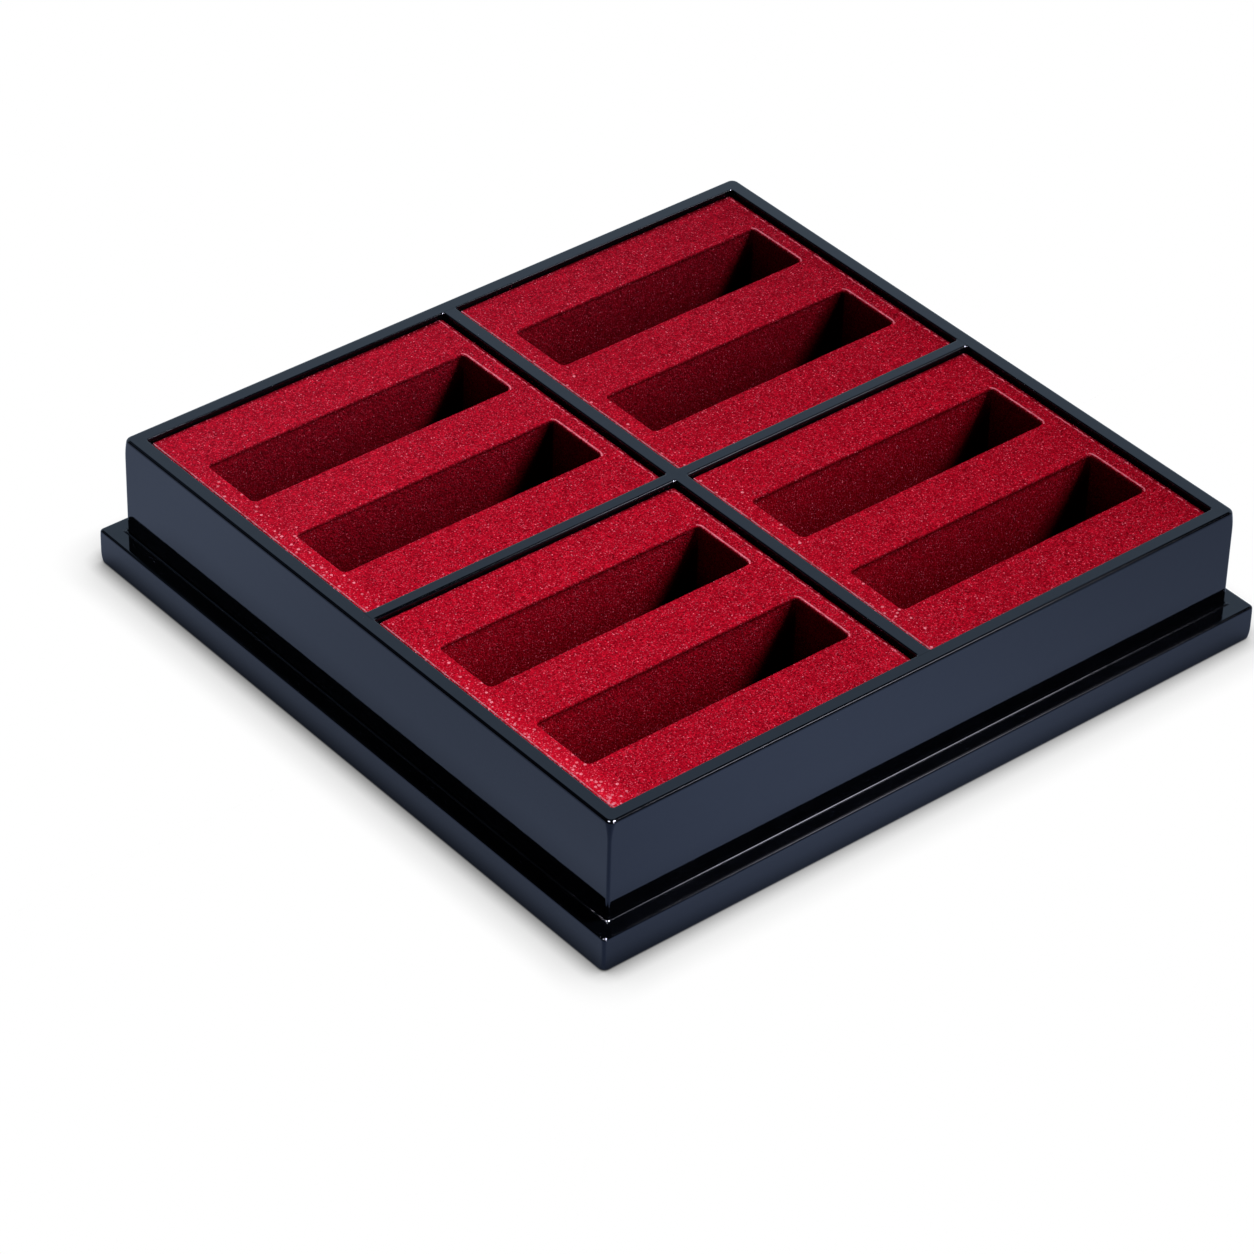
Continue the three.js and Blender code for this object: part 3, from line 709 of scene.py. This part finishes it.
# Painted sheen on the left strips, brighter red with more glitter, is strongest round one spot. It has a
# strength at an insert's front, a fall to its back and limits.
SHEEN_SPOT, SHEEN_REACH, LEAST_SHEEN = (-112, -112), (110, 150), 0.25
STRIP_SHEEN = {"left": (1.9, 1.95, 0.12, 1.7), "right": (0.45, 0.0, 0.45, 0.45)}
STRIP_SHEEN_ROW = {"front": 1.0, "back": 0.6}
# Painted shade at the back edge starts at a distance that falls by so much from left to right.
BACK_SHADE_SHIFT = {"front": (1.0, 1.1), "back": (0.2, 0.6)}
# The painted shadow of a slot's right edge reaches this far left for each millimetre down, less a shift.
SHADOW_SLOPE, NEAR_SHIFT, FAR_SHIFT = 0.72, {"front": 2.3, "back": -1.0}, 3.4
SHADOW_FADE, SHADOW_POWER, DARKEST_END, LEAST_DARK = (-3, 13), 1.3, 0.72, {"front": 0.0, "back": 0.28}
# Under a back edge lie two soft lines of painted shadow, each with a strength, place and half width.
LIP_FADE, UNDER_LIP, DARKEST_LIP = 1.2, ((0.66, 1.3, 0.45), (0.22, 2.0, 0.9)), 0.8
# Painted shade on an insert's sides just below its top, in the gap round it, and on top along the right edge
# of the right-hand inserts.
IN_GAP, GAP_STARTS, GAP_ENDS = 0.35, (0.4, 0.8), (5, 6)
DIM_RIGHT, DIM_WIDTH, DIM_FADE = {"left": 0.0, "right": 0.13}, 7, 3


def rising(value, start, reach):
    """A share that goes evenly from 0 at a start to 1 a reach further on."""
    return np.clip((value - start) / reach, 0, 1)


def pile_values(corner, points):
    """Distances and shares at each point of a skin, by name.

    depth is how far down a slot a point lies, lip_highlight_distance how far from a slot's right end, and
    from_right, from_left and from_back how far from the insert's edges. painted_left_sheen is the strength of
    the painted sheen and glitter on the left strips. dark is the painted shade in a slot's right end, under
    its back edge, in the gap round the insert and at its right.
    """
    middle, half, foot, top, slot_half, centres = insert_frame(corner)
    row, column = corner.split("_")
    local, below = points[:, :2] - middle, top - points[:, 2]
    x, y = local.T
    to_slot = np.min([distance_to(local, m, slot_half, SLOT_CORNER) for m in centres], axis=0)
    beside_slot = np.min([np.abs(y - m[1]) for m in centres], axis=0) < slot_half[1] + SLOT_MARGIN
    at_right_end = beside_slot * (x > slot_half[0] - LIP_MARGIN) * (below < ON_TOP)
    depth = rising(below, DEEP_FROM, top - foot)

    roll_start, roll_fall = BACK_SHADE_SHIFT[row]
    roll = roll_start - roll_fall * (x + half[0]) / (2 * half[0])
    off_spot = (((points[:, :2] - SHEEN_SPOT) / SHEEN_REACH) ** 2).sum(axis=1)
    sheen_near_spot = LEAST_SHEEN + (1 - LEAST_SHEEN) * np.exp(-0.5 * off_spot)
    strongest, fall, least, most = STRIP_SHEEN[column]
    sheen_forwards = np.clip(strongest - fall * (y + half[1]) / (2 * half[1]), least, most) * STRIP_SHEEN_ROW[row]
    painted_sheen = 1 - rising(x, -half[0], SLOT_END + SHEEN_FADE)

    lit = slot_half[0] - x - SHADOW_SLOPE * below + np.where(y > 0, FAR_SHIFT, NEAR_SHIFT[row])
    dark_wall = 1 - rising(lit, *SHADOW_FADE) ** SHADOW_POWER
    at_end = x > slot_half[0] - END_MARGIN
    dark_wall = np.where(at_end, np.minimum(dark_wall, DARKEST_END), dark_wall)
    dark_wall = np.maximum(dark_wall, LEAST_DARK[row]) * rising(below, 0, LIP_FADE)
    dark_line = sum(share * np.exp(-((below - place) / width) ** 2) for share, place, width in UNDER_LIP)
    past_front_slot = y > centres[0][1] + slot_half[1] - BACK_MARGIN
    dark_lip = past_front_slot * np.minimum(dark_line, DARKEST_LIP)
    on_lining = (to_slot < ON_LINING) * (below > LINING_HIGH)
    in_gap = IN_GAP * (to_slot > AT_SLOT) * rising(below, *GAP_STARTS) * (1 - rising(below, *GAP_ENDS))
    dim_right = DIM_RIGHT[column] * rising(x, half[0] - DIM_WIDTH, DIM_FADE) * (below < ON_TOP)
    return {
        "depth": depth * (to_slot < AT_SLOT),
        "lip_highlight_distance": np.where(at_right_end, to_slot, FAR_AWAY),
        "from_right": np.where(below < AT_EDGE, half[0] - x, FAR_AWAY),
        "from_left": np.where(below < AT_EDGE, half[0] + x, FAR_AWAY),
        "from_back": half[1] - y + roll + np.where(to_slot < AT_SLOT, FAR_AWAY, 0.0),
        "painted_left_sheen": painted_sheen * (1 - depth) * sheen_near_spot * sheen_forwards,
        "dark": np.max([on_lining * np.maximum(dark_wall, dark_lip), in_gap, dim_right], axis=0)}


# %% Skins
# The pile's unevenness: height, length, first seed and number of waves, and where it starts above the foot.
UNEVEN, UNEVEN_FROM, SMOOTH_ALL = ((0.05, 3.0, 10, 24), (0.06, 9.0, 20, 14)), (2, 10), 180.0
flocked = []
for number, corner in enumerate(CORNERS):
    points, faces = skin_surface(corner)
    skin = make_piece(f"skin_{corner}", points, faces, f"insert_{corner}",
                      f"insert_{corner}_cover", sharp_degrees=SMOOTH_ALL, recalculate=False)
    points = np.array([p.co for p in skin.data.vertices]) / MM
    normals = np.array([n.vector for n in skin.data.vertex_normals])
    uneven = sum(high * waves(points, length, seed + number, count) for high, length, seed, count in UNEVEN)
    uneven = uneven * rising(points[:, 2] - insert_frame(corner)[2], *UNEVEN_FROM)
    skin.data.vertices.foreach_set("co", ((points + normals * uneven[:, None]) * MM).ravel())
    for name, values in pile_values(corner, points).items():
        layer = skin.data.attributes.new(name, "FLOAT", "POINT")
        layer.data.foreach_set("value", values.astype(np.float32))
    thick = skin.modifiers.new("thickness", "SOLIDIFY")
    thick.thickness, thick.offset, thick.use_rim = SKIN * MM, -1.0, True
    flocked.append(skin)
print("skins:", [len(s.data.polygons) for s in flocked])

# %% [markdown]
# ## Foam cores and felts
# The foam fills the skin and is only seen when an insert is taken apart. The felts are flat sheets: one
# that the tray stands on, and one in the recess under the base. Both are rings round the sides, closed by a
# triangulated flat above and below.


# %% Sides and flats
SOFT = np.radians(np.linspace(0, 90, 4))


def soft_edges(low, high, r, between=()):
    """Steps outwards and levels up a side that is rounded by r at both edges, with other steps between."""
    foot = [(-r * (1 - math.sin(a)), low + r * (1 - math.cos(a))) for a in SOFT]
    head = [(-r * (1 - math.cos(a)), high - r + r * math.sin(a)) for a in SOFT]
    return [*foot, *between, *head]


def closed_by_flats(sides, loops, grid, low, high, room, middle):
    """Sides closed by a flat on top and one below, moved in plan."""
    above, below = (fill_flat(loops, grid, level, room) for level in (high, low))
    return joined([*sides, above, (below[0], below[1][:, ::-1])], middle)


# %% Foam cores
CORE_PLAY, CORE_CORNER, CORE_ROUND, CORE_FLAT_CORNER, BULGE = 0.5, 1.7, 0.6, 1.0, 0.25
CORE_SPACING, CORE_RINGS, CORE_GRID = 3.0, 9, 5.0


def core_surface(corner):
    """A closed block with two slots, whose sides and slot walls bulge a little."""
    middle, half, _, _, slot_half, centres = insert_frame(corner)
    low, high = (edge[2] for edge in box_mm(f"insert_{corner}_foam"))
    half, slots = half - (SKIN + CORE_PLAY), (slot_half + SKIN, SLOT_CORNER + SKIN)
    bulge = BULGE * np.sin(np.linspace(0, np.pi, CORE_RINGS))
    levels = np.linspace(low + CORE_ROUND, high - CORE_ROUND, CORE_RINGS)
    steps = soft_edges(low, high, CORE_ROUND, zip(bulge[1:-1], levels[1:-1]))
    outside, out_normals = loop(half, CORE_CORNER, CORE_SPACING)
    sides, loops = [rings_of(outside, out_normals, steps)], [outside - out_normals * CORE_ROUND]
    for centre in centres:
        line, normals = loop(*slots, CORE_SPACING)
        line = line + centre
        sides.append(rings_of(line, normals, [(-out, level) for out, level in steps]))
        loops.append(line + normals * CORE_ROUND)
    room = room_inside(ORIGIN, (half - CORE_ROUND, CORE_FLAT_CORNER), [s + CORE_ROUND for s in slots],
                       centres)
    return closed_by_flats(sides, loops, CORE_GRID, low, high, room, middle)


cores = []
for corner in CORNERS:
    points, faces = core_surface(corner)
    core = make_piece(f"foam_{corner}", points, faces, f"insert_{corner}", f"insert_{corner}_foam")
    cores.append(core)
print("cores:", [len(c.data.polygons) for c in cores])

# %% Felts
FELT_CORNER, FELT_ROUND_SHARE, FELT_FLAT_CORNER, FELT_SHARP = 1.8, 0.4, 1.5, 60.0
FELT_SPACING, FELT_GRID = 3.0, 4.0
FELT_WAVE, FELT_WAVE_LENGTH, FELT_SEED = 0.02, 7.0, 41


def felt_sheet(name, node):
    """A flat sheet with soft edges and a faint unevenness."""
    low, high = box_mm(node)
    half, middle = (high - low)[:2] / 2, (high + low)[:2] / 2
    r = (high[2] - low[2]) * FELT_ROUND_SHARE
    line, normals = loop(half, FELT_CORNER, FELT_SPACING)
    sides = rings_of(line, normals, soft_edges(low[2], high[2], r))
    room = room_inside(ORIGIN, (half - r, FELT_FLAT_CORNER))
    loops = [line - normals * r]
    points, faces = closed_by_flats([sides], loops, FELT_GRID, low[2], high[2], room, middle)
    points[:, 2] += FELT_WAVE * waves(points, FELT_WAVE_LENGTH, FELT_SEED)
    sheet = make_piece(name, points, faces, "base", node, sharp_degrees=FELT_SHARP)
    return sheet


felts = [felt_sheet("felt_seat", "seat_felt"), felt_sheet("felt_underside", "underside_felt")]
print("felts:", [len(f.data.polygons) for f in felts])

# %% [markdown]
# ## Finishes
# Lacquer is almost black and very smooth: nearly all that one sees is what it mirrors, a little bluer than
# it is. Flock is short dyed fibre with a fine glitter in it. Groups hold what several finishes share: an
# uneven grain, and glitter. A grain is given by its size, as a scale per metre, and its detail.

# %% Shared effects
GRAIN_ROUGHNESS, GRAIN_RANGE, DIMMEST_GLINT = 0.6, (0.25, 0.75), 0.6
grain, given, made = start_group("uneven_grain", {"Size": 800.0, "Detail": 3.0}, ("Tone", "Height"))
noise = add_node(grain, "TexNoise", {"Vector": given["Place"], "Scale": given["Size"],
                                     "Detail": given["Detail"], "Roughness": GRAIN_ROUGHNESS})
uneven = noise.outputs["Fac"]
fill(grain, made, {"Tone": ramp(grain, uneven, *GRAIN_RANGE), "Height": uneven})

glitter, given, made = start_group("glitter", {"Size": 900.0, "Share": 0.1, "Radius": 0.2}, ("Mask", "Tone"))
cells = add_node(glitter, "TexVoronoi", {"Vector": given["Place"], "Scale": given["Size"]})
chance = add_node(glitter, "SeparateColor", {0: cells.outputs["Color"]}).outputs
chosen = compute(glitter, "LESS_THAN", chance[0], given["Share"])
near = compute(glitter, "LESS_THAN", cells.outputs["Distance"], given["Radius"])
glint = ramp(glitter, chance[1], 0.0, 1.0, DIMMEST_GLINT, 1.0)
mask = multiply(glitter, multiply(glitter, chosen, near), glint)
fill(glitter, made, {"Mask": mask, "Tone": chance[2]})


def placed(tree, group, *values):
    """A group's outputs in a material, with values for its inputs in their order."""
    return add_node(tree, "Group", dict(enumerate(values)), node_tree=group).outputs


# %% Lacquer
LACQUER_DARK, LACQUER_PALE = (0.0010, 0.0013, 0.0024), (0.0018, 0.0022, 0.0036)
LACQUER_TINT = (0.45, 0.55, 0.85, 1.0)
FILM_GRAIN, LACQUER_ROUGHNESS, LACQUER_IOR = (60.0, 2.0), (0.035, 0.06), 1.5
RIPPLE_GRAIN, RIPPLE_METRES, RIPPLE_STRENGTH = (220.0, 1.0), 0.00002, 0.6
lacquer, tree, shader, place = start_material("black_lacquer")
film = placed(tree, grain, place, *FILM_GRAIN)["Tone"]
ripple = placed(tree, grain, place, *RIPPLE_GRAIN)["Height"]
fill(tree, shader, {"Base Color": mix_colours(tree, film, LACQUER_DARK, LACQUER_PALE),
                    "Roughness": ramp(tree, film, 0.0, 1.0, *LACQUER_ROUGHNESS), "IOR": LACQUER_IOR,
                    "Specular Tint": LACQUER_TINT,
                    "Normal": bump(tree, ripple, RIPPLE_METRES, RIPPLE_STRENGTH)})

# %% Flock
# A painted highlight line has the value that it follows, its place and half width in millimetres, how far it
# wanders, and how it breaks: the grain's range, and the line's strength at both ends of it. Flecks have the
# size of their cells, the share that glints and its gain on the painted sheen of the left strips, their
# radius, strength and its gain there, and colour.
# Some of these dyes paint light: a sheen towards the back and on the left strips, highlight lines along the
# edges and lips, and shade deep in the slots, along the right and back edges and in shaded places. dark, pale
# and patches are the flock's own tones.
DYES = {"dark": (0.110, 0.0003, 0.0030), "pale": (0.880, 0.0088, 0.038), "patches": (0.20, 0.0012, 0.0065),
        "painted back sheen": (0.12, 0.047, 0.107), "depth": (0.09, 0.001, 0.003), "painted_sheen": (0.98, 0.008, 0.036),
        "painted edge shade": (0.06, 0.0005, 0.002), "shade": (0.004, 0.0001, 0.0003),
        "left highlight": (0.62, 0.29, 0.37), "right highlight": (1.0, 0.20, 0.29), "lip highlight": (1.0, 0.28, 0.38)}
HIGHLIGHT_LINES = {"left highlight": ("from_left", 0.66, 0.28, 0.2, (0.40, 0.56, 0.35, 0.95)),
         "right highlight": ("from_right", 1.45, 0.32, 1.6, (0.43, 0.58, 0.05, 0.95)),
         "lip highlight": ("lip_highlight_distance", LIP_ROUND + 0.13, 0.45, 0.3, (0.38, 0.58, 0.6, 1.0))}
FLECKS = ((2300.0, 0.26, 0.03, 0.42, 0.55, 0.12, (1.0, 0.122, 0.215)),
          (1100.0, 0.13, 0.40, 0.25, 0.95, 0.0, (1.0, 0.20, 0.30)),
          (640.0, 0.0, 0.75, 0.31, 1.0, 0.0, (1.0, 0.27, 0.36)))
GRAINS = ((1700.0, 1.0), (260.0, 2.0), (420.0, 1.0))
PATCHY, DEPTH_SHADE, SHEEN_STRENGTH, SHADED, SHADE_HIDES_FLECKS = 0.32, 0.85, 0.36, 0.97, 0.45
BACK_SHEEN_RAMP, RIGHT_EDGE_SHADE, BACK_EDGE_SHADE = (-0.02, 0.10, 0.0, 0.06), (0.20, 1.80, 0.90, 0.0), (0.0, 2.3, 0.95, 0.0)
FLOCK_ROUGHNESS, PILE_METRES, PILE_STRENGTH = 0.9, 0.0004, 0.8
flock, tree, shader, place = start_material("red_flock")


def value(name):
    """A value that each point of a skin carries."""
    return add_node(tree, "Attribute", attribute_name=name).outputs["Fac"]


def painted_highlight_line(name, centre, half_width, wobble, broken):
    """A soft painted highlight where a distance in millimetres is near its centre, moved and broken by the
    grain.
    """
    moved = scaled(tree, wander, wobble, value(name))
    off = compute(tree, "ABSOLUTE", compute(tree, "SUBTRACT", moved, centre + wobble / 2))
    return multiply(tree, ramp(tree, off, 0.0, half_width, 1.0, 0.0), ramp(tree, wander, *broken))


fine, broad, middling = (placed(tree, grain, place, *sizes) for sizes in GRAINS)
wander = middling["Height"]
left_sheen, deep, dark = value("painted_left_sheen"), value("depth"), value("dark")
# Flecks glint more where sheen is painted on the left strips.
glints = [placed(tree, glitter, place, size, scaled(tree, left_sheen, gain, share), radius)
          for size, share, gain, radius, *_ in FLECKS]
tuft = scaled(tree, glints[0]["Tone"], 0.5, multiply(tree, fine["Tone"], 0.5))
shares = {"patches": multiply(tree, broad["Tone"], PATCHY),
          # a painted sheen, paler and greyer towards the back
          "painted back sheen": ramp(tree, add_node(tree, "SeparateXYZ", {0: place}).outputs["Y"], *BACK_SHEEN_RAMP),
          # painted shade, darker deeper down the slots
          "depth": multiply(tree, deep, DEPTH_SHADE),
          # painted sheen on the left strips
          "painted_sheen": multiply(tree, left_sheen, SHEEN_STRENGTH),
          # painted shade along the right and back edges
          "painted edge shade": compute(tree, "MAXIMUM", ramp(tree, value("from_right"), *RIGHT_EDGE_SHADE),
                                   ramp(tree, value("from_back"), *BACK_EDGE_SHADE)),
          "shade": multiply(tree, dark, SHADED)}
# Painted highlight lines along the left and right edges and the slots' right lips.
shares.update((name, painted_highlight_line(*line)) for name, line in HIGHLIGHT_LINES.items())
colour = mix_colours(tree, tuft, DYES["dark"], DYES["pale"])
for name, share in shares.items():
    colour = mix_colours(tree, share, colour, DYES[name])
# Flecks fade out deep in the slots and where shade is painted.
shown = compute(tree, "SUBTRACT", compute(tree, "SUBTRACT", 1.0, multiply(tree, deep, SHADE_HIDES_FLECKS)), dark)
for glint, (*_, strength, gain, fleck) in zip(glints, FLECKS):
    mask = multiply(tree, glint["Mask"], scaled(tree, left_sheen, gain, strength))
    colour = mix_colours(tree, multiply(tree, mask, shown), colour, fleck)
fill(tree, shader, {"Base Color": colour, "Roughness": FLOCK_ROUGHNESS, "Specular IOR Level": 0.0,
                    "Normal": bump(tree, fine["Height"], PILE_METRES, PILE_STRENGTH)})


# %% Felt, foam, card and bare wood
def plain_finish(name, dark, pale, sizes, roughness, depth, shine=0.0, stretch=None):
    """A rough finish: two tones mixed by the shared grain, perhaps stretched, with a bump of some depth."""
    material, tree, shader, place = start_material(name)
    if stretch:
        place = add_node(tree, "Mapping", {"Vector": place, "Scale": stretch}).outputs["Vector"]
    uneven = placed(tree, grain, place, *sizes)
    fill(tree, shader, {"Base Color": mix_colours(tree, uneven["Tone"], dark, pale), "Roughness": roughness,
                        "Specular IOR Level": shine, "Normal": bump(tree, uneven["Height"], depth)})
    return material


felt = plain_finish("dark_felt", (0.012, 0.003, 0.004), (0.030, 0.008, 0.010), (900.0, 4.0), 1.0, 0.0003)
foam = plain_finish("grey_foam", (0.055, 0.055, 0.058), (0.090, 0.090, 0.094), (1200.0, 2.0), 1.0, 0.0005)
card = plain_finish("grey_board", (0.13, 0.11, 0.09), (0.19, 0.17, 0.14), (500.0, 4.0), 0.9, 0.0001)
wood = plain_finish("bare_wood", (0.26, 0.15, 0.07), (0.48, 0.31, 0.17), (900.0, 4.0), 0.75, 0.0001,
                    shine=0.5, stretch=(1.0, 1.0, 0.12))

# %% Finishes on the pieces
for pieces, finish in ((lacquered, lacquer), (flocked, flock), (cores, foam), (felts, felt)):
    for piece in pieces:
        piece.data.materials.clear()
        piece.data.materials.append(finish)
for name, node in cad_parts.items():
    finish = lacquer if name in ("tray_floor", "base_panel") else card if name.endswith("_card") else wood
    if not node.hide_render:
        node.material_slots[0].material = finish
print("finishes:", sorted(m.name for m in bpy.data.materials if m.users))
